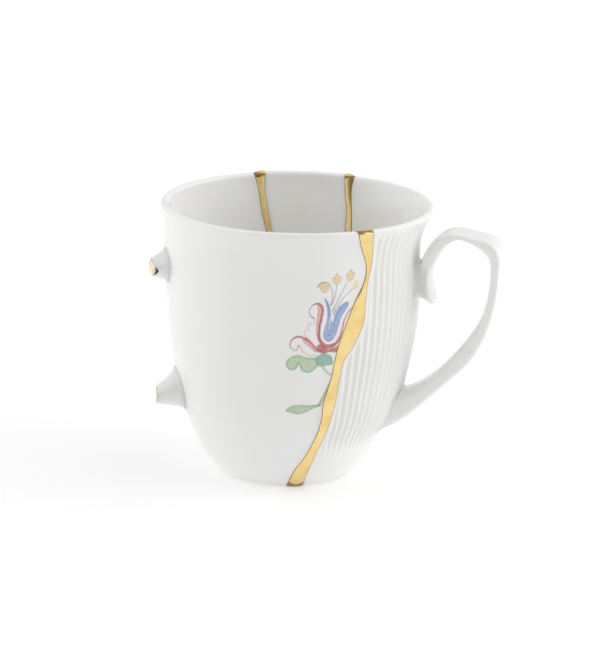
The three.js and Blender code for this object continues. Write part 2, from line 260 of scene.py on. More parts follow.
def shard(rows, keep, angles, rise=0, groove=None):
    """Outer and inner grids of a shard. Its columns' angles come from a function of radius and z. Within the
    rounding of a long edge, the surface drops along its normal by a quarter circle. A groove cuts the outer
    wall."""
    grids = []
    for surface, some in ((outside, rows), (inside, rows[keep])):
        place = some[:, None]
        angle = np.zeros((len(some), 1))
        for _ in range(4):
            radius, z = surface(place, angle)
            angle, drop = angles(radius, z)
        radius, z = surface(place, angle)
        if groove is not None and surface is outside:
            radius = radius - groove(z, angle)
        grid = polar(radius, angle, z + rise * smoothstep(z, HEIGHT - 6, HEIGHT - 1))
        grids.append(grid - (1 if surface is outside else -1) * drop[..., None] * normals(grid))
    grids[1][-1] = grids[0][-1]
    return grids


def rounded(distance):
    """How far a rounded edge lies below its surface, at a distance from the edge."""
    left = np.clip(EDGE_ROUND - distance, 0, EDGE_ROUND)
    return EDGE_ROUND - np.sqrt(EDGE_ROUND**2 - left**2)


EDGE_STEPS = EDGE_ROUND * np.array([0, 0.06, 0.2, 0.42, 0.7, 1])


def between(low, high, shares):
    """Columns from one edge line to another: a few at set distances from each edge, and the rest between."""
    shares = np.concatenate([0 * EDGE_STEPS, shares, 0 * EDGE_STEPS + 1])
    inset = np.concatenate([EDGE_STEPS, 0 * shares[len(EDGE_STEPS):-len(EDGE_STEPS)], -EDGE_STEPS[::-1]])

    def angles(radius, z):
        first, last = low(radius[:, :1], z[:, :1]), high(radius[:, -1:], z[:, -1:])
        angle = first + (last - first) * shares + np.degrees(inset / radius)
        near = np.where((shares == 0) | (shares == 1), np.abs(inset), EDGE_ROUND)
        return angle, rounded(near) + 0 * angle

    return angles


PAINT_STEP = 0.25  # mm between rows and columns where the flower is painted
PAINT_HEIGHTS = (30, 83)
PAINT_SHARE = 0.82  # of the way from the left seam to the front seam

smooth_heights = np.concatenate([
    np.linspace(FOOT_EDGE, PAINT_HEIGHTS[0], 27)[:-1],
    np.arange(PAINT_HEIGHTS[0], PAINT_HEIGHTS[1], PAINT_STEP),
    np.linspace(PAINT_HEIGHTS[1], LIP_BASE, 12),
])
smooth_rows = places(smooth_heights)
dense = (smooth_heights > PAINT_HEIGHTS[0]) & (smooth_heights < PAINT_HEIGHTS[1])
kept = np.ones(len(smooth_rows), bool)
first_wall = np.argmax(smooth_rows >= 2)
kept[first_wall:first_wall + len(dense)] = ~dense | (np.arange(len(dense)) % 5 == 0)  # inside, one row in five
smooth_keep = np.flatnonzero(kept)
smooth_shares = np.concatenate([
    np.linspace(0.012, 0.41, 24)[:-1], np.linspace(0.41, 0.59, 46)[:-1],
    np.linspace(0.59, PAINT_SHARE, 18)[:-1], np.linspace(PAINT_SHARE, 0.9965, 106),
])
smooth_outer, smooth_inner = shard(smooth_rows, smooth_keep, between(
    lambda radius, z: seam_edge(LEFT_SEAM, 1, radius, z),
    lambda radius, z: 360 + seam_edge(FRONT_SEAM, -1, radius, z), smooth_shares))


# Stumps on the smooth shard.
# Two short horns of china where a handle was broken off, one above the other, each wide where it leaves the
# wall. They are part of the casting, so they run into the wall in a soft fillet filled with glaze.
STUMP_ANGLE = 205
STUMP_WIDTH = 9.5
STUMP_FLARE = 1.4
UPPER_STUMP = dict(height=74, length=5.4, tip=5.9, root=11, rise=1, slant=0)
LOWER_STUMP = dict(height=28.2, length=8.8, tip=6.2, root=14.5, rise=2.4, slant=0.16)
STUMP_END = 1  # length of the rounded end
END_DEPTH = 0.85  # how far the rounding goes along the stump
END_ROUND = 0.9  # how far it goes in towards the middle
FILLET = 2  # glaze pooled in a corner
SIDES = 72


def turned(points, degrees):
    """Points turned about the mug's axis."""
    c, s = np.cos(np.radians(degrees)), np.sin(np.radians(degrees))
    return points @ np.array([[c, s, 0], [-s, c, 0], [0, 0, 1]])


def tube(rings):
    """Rings of points joined side to side, each anticlockwise about the way they go, closed by triangles."""
    rows, sides = rings.shape[:2]
    index = np.arange(rows * sides).reshape(rows, sides)
    beside = np.roll(index, -1, axis=1)
    quads = np.stack([index[:-1], beside[:-1], beside[1:], index[1:]], axis=-1).reshape(-1, 4)
    start, end = rows * sides, rows * sides + 1
    ends = [np.stack([np.full(sides, start), beside[0], index[0]], axis=-1),
            np.stack([np.full(sides, end), index[-1], beside[-1]], axis=-1)]
    points = np.concatenate([rings.reshape(-1, 3), rings[:1].mean(axis=1), rings[-1:].mean(axis=1)])
    return points, quads, np.concatenate(ends)


def stump_size(shape, out):
    """Middle height, height and width of a stump's oval section at a distance out from the wall."""
    ease = (1 - np.clip(out / shape["length"], 0, 1)) ** 1.2
    return (shape["height"] + shape["rise"] * ease, shape["tip"] + (shape["root"] - shape["tip"]) * ease,
            STUMP_WIDTH * (1 + (STUMP_FLARE - 1) * ease), ease)


def stump_rings(shape, out, grow=0):
    """Ovals facing out from the wall. Near it they follow its curves, and further out they are flat, and
    turned by the slant of the break."""
    turn = np.linspace(0, 2 * np.pi, SIDES, endpoint=False)
    height, tall, wide, ease = stump_size(shape, out)
    y = (wide / 2 + grow) * np.cos(turn)
    z = height + (tall / 2 + grow) * np.sin(turn)
    flat = wall_radius(height, STUMP_ANGLE)
    curved = np.sqrt(wall_radius(z, STUMP_ANGLE) ** 2 - y**2)
    x = out + flat + (curved - flat) * ease + shape["slant"] * y * (1 - ease)
    return np.stack(np.broadcast_arrays(x, y, z), axis=-1)


def oval_distance(across, along, wide, tall, power=2):
    """About how far a point lies outside an oval, or a squarer ring at a power above 2: its share of the way
    from the middle to the ring, less one, over how fast that share grows."""
    x, y = np.abs(across) / (wide / 2) + 1e-4, np.abs(along) / (tall / 2) + 1e-4
    share = np.maximum((x**power + y**power) ** (1 / power), 0.02)
    growth = share ** (1 - power) * np.hypot(x ** (power - 1) / (wide / 2), y ** (power - 1) / (tall / 2))
    return (share - 1) / growth


def stump_distance(shape):
    """A function that tells how far a point lies outside a stump, in the plane of its section."""
    def distance(points):
        x, y, z = np.moveaxis(turned(points, -STUMP_ANGLE), -1, 0)
        flat = wall_radius(shape["height"], STUMP_ANGLE)
        curved = np.sqrt(np.maximum(wall_radius(z, STUMP_ANGLE) ** 2 - y**2, 0))
        ease = stump_size(shape, x - curved)[3]
        out = x - flat - (curved - flat) * ease - shape["slant"] * y * (1 - ease)
        height, tall, wide, _ = stump_size(shape, out)
        return oval_distance(y, z - height, wide, tall)
    return distance


def wall_distance(points):
    """How far a point lies outside the plain wall, square to it."""
    radius, z = np.hypot(points[..., 0], points[..., 1]), points[..., 2]
    angle = np.degrees(np.arctan2(points[..., 1], points[..., 0]))
    return (radius - wall_radius(z, angle)) / np.hypot(1, wall_slope(np.clip(z, 1, LIP_BASE), angle))


def melt(points, own, others, fillet=FILLET):
    """Moves points onto the surface where solids run into each other: the smaller of their distances, less a
    quarter of the fillet times the square of how nearly the two are equal. Where another solid is nearer, the
    point sinks a hair, so that one surface hands over to the next. Points deep inside another stay put."""
    def level(p):
        value = own(p)
        for other in others:
            d = other(p)
            near = np.maximum(fillet - np.abs(value - d), 0) / fillet
            value = np.minimum(value, d) - fillet * near**2 / 4
        return value

    def nearest(p):
        return np.min([other(p) for other in others], axis=0)

    start = nearest(points)
    chosen = (start > -1.6) & (start < 1.6 * fillet)
    p = points[chosen].copy()
    h = 0.02
    for _ in range(5):
        value = level(p)
        slope = np.stack([level(p + h * step) - value for step in np.eye(3)], axis=-1) / h
        p -= np.clip(value, -1, 1)[:, None] * slope / np.maximum((slope**2).sum(-1, keepdims=True), 0.25)
    slope /= np.maximum(np.linalg.norm(slope, axis=-1, keepdims=True), 1e-9)
    p -= 0.05 * smoothstep(own(p) - nearest(p), 0, 1.5)[:, None] * slope
    weight = smoothstep(start[chosen], -1.6, -0.6) * (1 - smoothstep(start[chosen], 1.2 * fillet, 1.6 * fillet))
    moved = points.copy()
    moved[chosen] += weight[:, None] * (p - points[chosen])
    return moved


stumps = [UPPER_STUMP, LOWER_STUMP]
distances = [stump_distance(stump) for stump in stumps]
smooth_outer = melt(smooth_outer.reshape(-1, 3), wall_distance, distances).reshape(smooth_outer.shape)
end_turn = np.linspace(0.2, 1.57, 7)  # the end's quarter circle, from beside the stump to its flat face
stump_parts = []
for stump, distance in zip(stumps, distances):
    straight = stump["length"] - STUMP_END
    out = np.concatenate([[-1.2], np.linspace(-0.6, straight, 34), straight + END_DEPTH * np.sin(end_turn)])
    rounding = np.concatenate([np.zeros(35), END_ROUND * (np.cos(end_turn) - 1)])
    rings = turned(stump_rings(stump, out[:, None], rounding[:, None]), STUMP_ANGLE)
    root_rings = rings[1:30]
    rings[1:30] = melt(root_rings.reshape(-1, 3), distance, [wall_distance]).reshape(root_rings.shape)
    stump_parts.append(tube(rings))


# Flower painted on the smooth shard.
# Enamels painted by hand over the glaze and fired: yellow buds on fine stems, a blue cup between red scrolled
# petals, green leaves under them. The break cuts it off, so what lay past the gold is lost. Points are mm
# across, from the line at FLOWER_ANGLE, and mm up from the foot; a third number is a stroke's width.
FLOWER_ANGLE = -65
FLOWER_RADIUS = 44
FLOWER_REACH = 18  # mm across, to each side of its line

INK = "45433F"
YELLOW = "F1D98C"
OCHRE = "B8943F"
BLUE = "8FADDB"
BLUE_DEEP = "587AB6"
RED = "C4534A"
RED_DEEP = "93302C"
PINK = "E9B9B0"
GREEN = "B3CF9E"
GREEN_DEEP = "6D9E77"
TEAL = "76B0A0"


def linear(code):
    """Linear colour of an sRGB hex value."""
    c = np.array([int(code[i:i + 2], 16) for i in (0, 2, 4)]) / 255
    return np.where(c <= 0.04045, c / 12.92, ((c + 0.055) / 1.055) ** 2.4)


def lay(paint, cover, color):
    """Lays a colour over the paint, by its share of cover."""
    total = cover + paint[:, 3] * (1 - cover)
    mixed = cover[:, None] * color + (paint[:, 3] * (1 - cover))[:, None] * paint[:, :3]
    paint[:, :3] = np.where(total[:, None] > 1e-4, mixed / np.maximum(total, 1e-4)[:, None], paint[:, :3])
    paint[:, 3] = total


def stroke(paint, spot, points, color, to=None, strength=0.9, soft=0.16):
    """A brush stroke along a smooth line through the points, as wide as they say, from one colour to
    another."""
    rows = [(i, *point) for i, point in enumerate(points)]
    t = np.linspace(0, len(rows) - 1, 14 * len(rows))
    line = np.stack([curve(rows, k)(t) for k in (1, 2)], axis=-1)
    width = curve(rows, 3)(t)
    near = np.flatnonzero(((spot > line.min(0) - 2) & (spot < line.max(0) + 2)).all(axis=1))
    away = np.linalg.norm(spot[near, None] - line, axis=-1) - width / 2
    closest = away.argmin(axis=1)
    cover = np.zeros(len(spot))
    cover[near] = strength * (1 - smoothstep(away[np.arange(len(near)), closest], -soft, soft))
    share = np.zeros(len(spot))
    share[near] = closest / (len(t) - 1)
    first, last = linear(color), linear(to or color)
    lay(paint, cover, first + (last - first) * share[:, None])


def wash(paint, spot, points, color, rim, rim_width=0.9, strength=0.85, soft=0.2):
    """A filled shape with a smooth outline through the points, darker where the wet enamel dried at its
    rim."""
    ring = list(points) + list(points[:3])
    rows = [(i, *point) for i, point in enumerate([points[-1]] + ring)]
    t = np.linspace(1, len(points) + 1, 12 * len(points), endpoint=False)
    line = np.stack([curve(rows, k)(t) for k in (1, 2)], axis=-1)
    after = np.roll(line, -1, axis=0)
    near = np.flatnonzero(((spot > line.min(0) - 1) & (spot < line.max(0) + 1)).all(axis=1))
    s = spot[near, None]
    along = after - line
    share = np.clip(((s - line) * along).sum(-1) / (along**2).sum(-1), 0, 1)
    away = np.linalg.norm(s - line - share[..., None] * along, axis=-1).min(axis=1)
    crosses = (line[:, 1] > s[..., 1]) != (after[:, 1] > s[..., 1])
    rise = np.where(along[:, 1] == 0, 1e-9, along[:, 1])
    crosses &= s[..., 0] < line[:, 0] + (s[..., 1] - line[:, 1]) * along[:, 0] / rise
    depth = np.where(crosses.sum(axis=1) % 2 == 1, away, -away)
    cover = np.zeros(len(spot))
    cover[near] = strength * smoothstep(depth, -soft, soft)
    tint = np.zeros(len(spot))
    tint[near] = smoothstep(depth, 0, rim_width)
    lay(paint, cover, linear(rim) + (linear(color) - linear(rim)) * tint[:, None])


smooth_parts = join(shell(smooth_outer, smooth_inner, smooth_keep), *stump_parts)
enamel = np.zeros((len(smooth_parts[0]), 4))
wall_x, wall_y, wall_z = smooth_outer.reshape(-1, 3).T
angle = np.degrees(np.arctan2(wall_y, wall_x))
spot = np.stack([np.radians(angle - FLOWER_ANGLE) * FLOWER_RADIUS, wall_z], axis=-1)
low, high = PAINT_HEIGHTS[0] - 1, PAINT_HEIGHTS[1] + 1
on_flower = (np.abs(spot[:, 0]) < FLOWER_REACH) & (spot[:, 1] > low) & (spot[:, 1] < high)
spot, paint = spot[on_flower], np.zeros((on_flower.sum(), 4))

# Stems and buds.
stroke(paint, spot, [
    (5.3, 70.8, 0.25), (6.0, 73.6, 0.22), (5.4, 76.6, 0.22), (4.2, 78.4, 0.3), (2.0, 78.6, 0.3),
    (0.7, 77.3, 0.42),
], INK, strength=0.95)
stroke(paint, spot, [(5.6, 70.4, 0.3), (6.8, 73.8, 0.22), (7.4, 77.8, 0.22)], INK, strength=0.95)
stroke(paint, spot, [(6.1, 68.6, 0.35), (8.6, 73.6, 0.22), (11.2, 78.6, 0.22)], INK, strength=0.95)
stroke(paint, spot, [(6.4, 67.4, 0.4), (9.4, 72.4, 0.22), (13.2, 75.9, 0.22)], INK, strength=0.95)
for across, up, lean in ((3.0, 76.9, -0.2), (7.2, 79.5, 0), (12.0, 80.5, 0.15)):
    wash(paint, spot, [
        (across - 1.5 + lean, up + 0.6), (across - 0.9, up - 1.2), (across, up - 1.8),
        (across + 1.1, up - 1.2), (across + 1.7 + lean, up + 0.8), (across + 0.9 + 2 * lean, up + 0.9),
        (across + 2 * lean, up + 2.2), (across - 0.7 + 2 * lean, up + 0.9),
    ], YELLOW, OCHRE, 0.45)
    stroke(paint, spot, [
        (across - 0.6, up + 0.7, 0.2), (across, up - 0.3, 0.2), (across + 0.7, up + 0.6, 0.2),
    ], OCHRE, strength=0.6)
wash(paint, spot, [
    (13.3, 76.2), (14.2, 75.5), (15.1, 76.4), (15.0, 78.1), (13.9, 78.3),
], YELLOW, YELLOW, 0.4, strength=0.75)

# Blue cup: two petals that meet at the bottom round a bare middle.
wash(paint, spot, [
    (3.3, 72.9), (4.7, 70.9), (5.4, 68.2), (5.6, 65.2), (5.2, 62.2), (4.9, 60.4), (5.9, 59.5),
    (6.5, 61.2), (7.2, 64.2), (8.8, 67.6), (11.6, 70.6), (11.0, 71.4), (8.6, 70.0), (7.0, 67.2),
    (6.2, 64.6),
], BLUE, BLUE_DEEP, 0.5, strength=0.9)
wash(paint, spot, [
    (3.3, 72.9), (4.2, 69.6), (4.3, 65.4), (3.4, 61.8), (3.3, 59.6), (4.6, 57.9), (6.2, 57.9),
    (7.6, 59.8), (8.4, 62.6), (9.4, 66.2), (11.7, 70.2), (11.1, 71.3), (8.2, 68.6), (7.0, 65.0),
    (6.2, 61.2), (5.3, 59.9), (5.0, 62.4), (5.3, 66.4), (4.8, 70.2),
], BLUE, BLUE_DEEP, 0.55, strength=0.9)
stroke(paint, spot, [(3.4, 72.8, 0.5), (4.6, 70.9, 0.35), (5.3, 69.2, 0.25)], INK, strength=0.6)

# Red scrolled petals: a washed side that fades to bare china, inside a drawn line.
wash(paint, spot, [
    (0.8, 71.0), (1.9, 70.9), (2.8, 68.6), (2.2, 64.6), (1.8, 60.4), (2.6, 57.4), (1.4, 58.6),
    (0.6, 62.2), (0.9, 66.4), (1.0, 69.0),
], PINK, RED, 0.7, strength=0.8)
stroke(paint, spot, [
    (-0.4, 66.3, 0.5), (-1.5, 67.2, 0.3), (-2.0, 68.9, 0.28), (-0.9, 70.8, 0.35), (1.0, 71.4, 0.7),
    (2.5, 69.8, 0.9), (2.4, 66.8, 0.9), (1.8, 62.8, 0.8), (1.9, 59.0, 1.0), (3.6, 56.4, 1.6),
    (6.2, 56.0, 1.6), (8.6, 57.6, 1.1), (9.9, 61.2, 0.7), (10.5, 65.0, 0.5), (12.0, 68.0, 0.4),
    (13.8, 69.5, 0.35),
], RED_DEEP, RED, strength=0.9)
stroke(paint, spot, [
    (-0.3, 66.4, 0.2), (0.1, 64.6, 0.2), (-0.9, 63.6, 0.2), (-1.7, 64.6, 0.2), (-2.4, 63.4, 0.2),
    (-1.6, 61.8, 0.2), (-2.6, 62.2, 0.2), (-3.3, 61.2, 0.22), (-2.6, 59.2, 0.25),
], RED, strength=0.7)
wash(paint, spot, [
    (-2.6, 59.4), (-0.8, 57.9), (1.2, 55.6), (3.0, 54.4), (0.6, 54.2), (-1.6, 56.2), (-4.0, 58.4),
], PINK, RED, 0.6, strength=0.8)
stroke(paint, spot, [
    (-5.2, 56.6, 0.4), (-5.8, 54.9, 0.22), (-7.2, 55.0, 0.22), (-8.3, 56.4, 0.35), (-7.6, 58.6, 0.5),
    (-5.4, 59.7, 0.7), (-3.0, 58.8, 0.7), (-0.8, 57.1, 0.7), (1.4, 54.9, 1.0), (3.4, 54.0, 1.2),
], RED_DEEP, RED, strength=0.9)
stroke(paint, spot, [
    (-5.2, 56.5, 0.2), (-4.4, 55.9, 0.3), (-4.0, 54.8, 0.3), (-3.0, 53.8, 0.2), (-1.6, 52.8, 0.25),
    (0.6, 53.0, 0.25),
], RED, strength=0.75)
wash(paint, spot, [
    (1.2, 56.2), (2.6, 56.6), (4.8, 55.0), (7.6, 55.4), (10.2, 56.6), (10.4, 53.4), (8.2, 53.6),
    (5.6, 53.9), (3.2, 53.2),
], RED, RED_DEEP, 0.5, strength=0.9)
wash(paint, spot, [
    (10.4, 60.0), (11.2, 64.8), (13.4, 68.6), (14.4, 68.6), (13.0, 62.8), (11.8, 58.8),
], PINK, PINK, 0.5, strength=0.45, soft=0.6)

# Leaves and stem.
wash(paint, spot, [
    (0.9, 51.8), (-2.4, 52.2), (-5.6, 53.0), (-8.6, 51.8), (-9.6, 49.6), (-8.2, 47.6), (-5.9, 48.0),
    (-4.9, 49.9), (-4.0, 47.5), (-1.4, 46.6), (0.9, 47.8), (2.1, 49.8),
], GREEN, GREEN_DEEP, 0.9, strength=0.85)
wash(paint, spot, [
    (0.8, 52.0), (2.4, 53.0), (4.8, 53.3), (6.6, 52.2), (7.4, 49.6), (5.0, 49.0), (2.6, 48.8),
    (1.2, 50.0),
], TEAL, GREEN_DEEP, 0.6, strength=0.85)
stroke(paint, spot, [
    (3.8, 49.0, 0.8), (4.9, 47.2, 0.6), (6.4, 45.9, 0.6), (7.8, 45.4, 0.6),
], GREEN, strength=0.85)
stroke(paint, spot, [(3.4, 48.8, 0.22), (4.6, 46.9, 0.22), (6.6, 45.5, 0.22)], GREEN_DEEP, strength=0.7)
stroke(paint, spot, [
    (7.0, 43.0, 0.5), (5.9, 40.0, 0.9), (4.9, 37.2, 1.3), (3.6, 34.9, 1.0), (2.9, 34.4, 0.5),
], GREEN_DEEP, GREEN_DEEP, strength=0.8)
stroke(paint, spot, [(6.6, 41.6, 0.3), (5.6, 38.6, 0.5), (4.6, 36.2, 0.6)], GREEN, strength=0.7)
wash(paint, spot, [
    (-9.4, 32.4), (-7.0, 34.2), (-3.6, 34.6), (0.0, 34.4), (3.6, 34.6), (3.8, 34.0), (1.2, 33.2),
    (-1.4, 32.0), (-4.6, 31.2), (-7.2, 31.8),
], GREEN, GREEN_DEEP, 0.7, strength=0.85)
stroke(paint, spot, [
    (-9.0, 32.4, 0.25), (-5.2, 33.5, 0.25), (-1.2, 33.8, 0.25), (2.8, 34.2, 0.4), (5.2, 34.6, 0.3),
], GREEN_DEEP, strength=0.7)
enamel[np.flatnonzero(on_flower)] = paint


def add_node(tree, kind, inputs=None, **settings):
    """Adds a node. Each input gets a value, or a link where it is given another node's output."""
    made = tree.nodes.new(kind)
    for name, value in settings.items():
        setattr(made, name, value)
    for name, value in (inputs or {}).items():
        if isinstance(value, bpy.types.NodeSocket):
            tree.links.new(value, made.inputs[name])
        else:
            made.inputs[name].default_value = value
    return made


def new_material(name):
    made = bpy.data.materials.new(name)
    made.use_nodes = True
    made.node_tree.nodes.clear()
    return made, made.node_tree


def rgba(code):
    return (*linear(code), 1)


def mixed(tree, share, first, second):
    """A colour between two others, by its share of the way."""
    return add_node(tree, "ShaderNodeMix", {0: share, 6: first, 7: second}, data_type="RGBA").outputs[2]


def mapped(tree, value, start, end, first=0, last=1):
    """A value carried from the range start to end over to first to last, and held at both."""
    return add_node(tree, "ShaderNodeMapRange", {
        "Value": value, "From Min": start, "From Max": end, "To Min": first, "To Max": last}).outputs["Result"]


def noise(tree, coords, scale, detail):
    """Soft cloudy pattern with so many waves to the metre."""
    made = add_node(tree, "ShaderNodeTexNoise", {"Vector": coords, "Scale": scale, "Detail": detail})
    return made.outputs["Fac"]


def glazed_china(name, pale, deep, painted=False, ripple=0.25, translucent=0.36):
    """Bone china under a clear lead-free glaze: a bright, slightly wavy gloss over a white that drifts a
    little warm and cool, and lets some light through, so its shadows are soft. The ripple is how wavy the
    glaze is. The bottom of the foot ring is wiped bare before firing, so it is matt."""
    material, tree = new_material(name)
    coords = add_node(tree, "ShaderNodeTexCoord").outputs["Object"]
    drift = noise(tree, coords, 45, 3)  # 22 mm clouds
    color = mixed(tree, drift, rgba(pale), rgba(deep))
    height = add_node(tree, "ShaderNodeSeparateXYZ", {"Vector": coords}).outputs["Z"]
    bare = mapped(tree, height, 0.0004, 0.0001)
    color = mixed(tree, bare, color, rgba("DEDAD0"))
    if painted:
        layer = add_node(tree, "ShaderNodeAttribute", attribute_name="enamel")
        wear = mapped(tree, noise(tree, coords, 900, 2), 0.3, 0.7, 0.78, 1)  # 1 mm brush mottle
        cover = add_node(tree, "ShaderNodeMath", {0: layer.outputs["Alpha"], 1: wear}, operation="MULTIPLY")
        color = mixed(tree, cover.outputs[0], color, layer.outputs["Color"])
    waves = noise(tree, coords, 90, 1)  # 11 mm ripple of the glaze
    bump = add_node(tree, "ShaderNodeBump", {"Height": waves, "Strength": ripple, "Distance": 0.0002})
    gloss = mapped(tree, drift, 0.3, 0.7, 0.06, 0.1)
    rough = add_node(tree, "ShaderNodeMix", {0: bare, 2: gloss, 3: 0.55}).outputs[0]
    surface = add_node(tree, "ShaderNodeBsdfPrincipled", {
        "Base Color": color, "Roughness": rough, "IOR": 1.52, "Normal": bump.outputs["Normal"],
        "Subsurface Weight": translucent, "Subsurface Radius": (1.0, 0.95, 0.88), "Subsurface Scale": 0.004})
    add_node(tree, "ShaderNodeOutputMaterial", {"Surface": surface.outputs["BSDF"]})
    return material


def add_object(name, data):
    made = bpy.data.objects.new(name, data)
    bpy.context.scene.collection.objects.link(made)
    return made


def make_piece(name, parts, material, nodes):
    """Smooth mesh from (points, quads, triangles), moved from the mug's axis to the frame and to metres."""
    points, quads, triangles = parts
    mesh = bpy.data.meshes.new(name)
    corners = np.concatenate([quads.ravel(), triangles.ravel()]).astype(np.int32)
    sizes = np.concatenate([np.full(len(quads), 4), np.full(len(triangles), 3)])
    mesh.vertices.add(len(points))
    mesh.vertices.foreach_set("co", ((points + MUG_AXIS) * 0.001).astype(np.float32).ravel())
    mesh.loops.add(len(corners))
    mesh.loops.foreach_set("vertex_index", corners)
    mesh.polygons.add(len(sizes))
    mesh.polygons.foreach_set("loop_start", np.concatenate([[0], np.cumsum(sizes)[:-1]]).astype(np.int32))
    mesh.update(calc_edges=True)
    mesh.polygons.foreach_set("use_smooth", np.ones(len(sizes), bool))
    mesh.materials.append(material)
    piece = add_object(name, mesh)
    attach(piece, "root")
    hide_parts(*nodes)
    return piece


painted_china = glazed_china("painted bone china", "F5F5F4", "F1F1EF", painted=True)
smooth_piece = make_piece(
    "smooth_shard_china", smooth_parts, painted_china, ["smooth_shard"])
painted = smooth_piece.data.color_attributes.new("enamel", "FLOAT_COLOR", "POINT")
painted.data.foreach_set("color", enamel.astype(np.float32).ravel())


# Back shard.
# A narrow strip of plain china from a third cup, between the two seams at the back. It is fitted a
# little proud, so its rim stands half a millimetre above its neighbours'.
BACK_RISE = 0.5

plain_china = glazed_china("plain bone china", "F5F5F3", "F1F1EE")
plain_heights = np.linspace(FOOT_EDGE, LIP_BASE, 80)
plain_rows = places(plain_heights)
plain_keep = np.arange(len(plain_rows))
back_outer, back_inner = shard(plain_rows, plain_keep, between(
    lambda radius, z: seam_edge(RIGHT_SEAM, 1, radius, z),
    lambda radius, z: seam_edge(LEFT_SEAM, -1, radius, z), np.linspace(0.05, 0.95, 30)), rise=BACK_RISE)
back_parts = shell(back_outer, back_inner, plain_keep)
make_piece("back_shard_china", back_parts, plain_china, ["back_shard"])


# Ribbed shard and its handle, the right half of the mug.
# China from a wider cup, cast with fine upright ribs that rise above the foot and run out under a flared lip.
# The looped strap handle was cast apart and stuck on with slip, and glaze pools round its roots.
RIBS_PER_TURN = 96
RIB_DEPTH = 0.8
RIB_CREST = -38.3
RIB_FOOT = (12, 22)
RIB_TOP = (5.5, 1.5)
RIB_COLUMNS = 9  # columns across one rib
RIB_SPAN = (-69, 84)  # angles that the shard's columns reach at most

HANDLE_LOW = 24
HANDLE_DROP = 22.9
HANDLE_REACH = 28
HANDLE_WIDTH = 12
HANDLE_FOOT = 14
HANDLE_SQUARE = 4  # power of its section's outline: 2 is an oval, and more is squarer
HANDLE_SIDES = 128
# Its strap: share of the reach, share of the height between the roots, thickness in mm.
STRAP = [
    (0.245, 0.835, 1.5), (0.18, 0.895, 2.6), (0.1, 1, 3.4), (0.11, 1.12, 4.6), (0.185, 1.24, 4.85),
    (0.3, 1.31, 4), (0.45, 1.33, 2.2), (0.62, 1.31, 2.7), (0.81, 1.27, 4.7),
    (0.925, 1.195, 4.5), (0.965, 1.085, 3.65), (0.985, 0.92, 3.7), (0.965, 0.77, 4),
    (0.9, 0.625, 5.3), (0.76, 0.46, 6.3), (0.545, 0.3, 5.7), (0.335, 0.175, 6.6),
    (0.145, 0.085, 8.8), (-0.05, 0.025, 11.2), (-0.27, -0.02, 13.2),
]
ROOT_DROP = 23.7
ROOT_HEIGHT = 12.4
ROOT_WIDTH = 11.4
ROOT_LENGTH = 4.2
ROOT_SECTION = [(-0.5, 1.02, 1), (0.1, 1, 0.98), (0.5, 0.98, 0.99), (1, 0.97, 1.03)]
TIP_LENGTH = 0.7  # rounded end of the strap, past its last station
SLIP = 1.6  # fillet of slip and glaze round the handle's roots
BURIED = 1.2  # how far the strap's lower end reaches into the wall


def groove(z, angle):
    """Depth of the valleys between ribs: a cosine round the cup. It fades in over one rib beside each seam,
    rises above the foot, and runs out under the lip."""
    pitch = 360 / RIBS_PER_TURN
    wave = 0.5 - 0.5 * np.cos(2 * np.pi * (angle - RIB_CREST) / pitch)
    radius = wall_radius(z, angle)
    beside = smoothstep(angle - seam_edge(FRONT_SEAM, 1, radius, z), 0, pitch)
    beside = beside * smoothstep(seam_edge(RIGHT_SEAM, -1, radius, z) - angle, 0, pitch)
    return RIB_DEPTH * wave * beside * smoothstep(z, *RIB_FOOT) * smoothstep(HEIGHT - z, RIB_TOP[1], RIB_TOP[0])


def upright(radius, z):
    """Columns at set angles, so that the ribs stand upright. Past a seam's edge they close up there."""
    first = seam_edge(FRONT_SEAM, 1, radius[:, :1], z[:, :1])
    last = seam_edge(RIGHT_SEAM, -1, radius[:, -1:], z[:, -1:])
    low = first + np.degrees(EDGE_STEPS / radius[:, :1])
    high = last - np.degrees(EDGE_STEPS[::-1] / radius[:, -1:])
    step = 360 / RIBS_PER_TURN / RIB_COLUMNS
    first_step, last_step = [(angle - RIB_CREST) / step for angle in RIB_SPAN]
    fixed = RIB_CREST + step * np.arange(np.floor(first_step), np.ceil(last_step))
    order = np.arange(len(fixed)) / len(fixed) * 0.02
    middle = np.clip(fixed, low[:, -1:] + 0.01 + order, high[:, :1] - 0.03 + order)
    angle = np.concatenate([low, middle, high], axis=1)
    edges = rounded(np.concatenate([EDGE_STEPS, np.full(len(fixed), EDGE_ROUND), EDGE_STEPS[::-1]]))
    return angle, edges + 0 * angle


def strap_path(t):
    """Middle, unit direction, thickness and width of the strap at a station along it."""
    high = HEIGHT - HANDLE_DROP
    up = curve([(i, row[1]) for i, row in enumerate(STRAP)])
    out = curve([(i, row[0]) for i, row in enumerate(STRAP)])
    low_wall, high_wall = wall_radius(HANDLE_LOW, 0), wall_radius(high, 0)

    def x(t):
        return low_wall + (high_wall - low_wall) * up(t) + out(t) * HANDLE_REACH

    def z(t):
        return HANDLE_LOW + (high - HANDLE_LOW) * up(t)

    last = len(STRAP) - 1
    along = np.stack([x(t + 0.15) - x(t - 0.15), z(t + 0.15) - z(t - 0.15)])
    along /= np.linalg.norm(along, axis=0)
    thickness = curve([(i, row[2]) for i, row in enumerate(STRAP)])(t)
    tongue = np.sqrt(1 - (0.8 * np.maximum(0, 1 - t)) ** 2)
    width = tongue * (HANDLE_WIDTH + (HANDLE_FOOT - HANDLE_WIDTH) * smoothstep(t, last - 4, last))
    return np.stack([x(t), z(t)]), along, thickness, width


path_middle, path_along, path_thickness, path_width = strap_path(np.linspace(0, len(STRAP) - 1, 360))


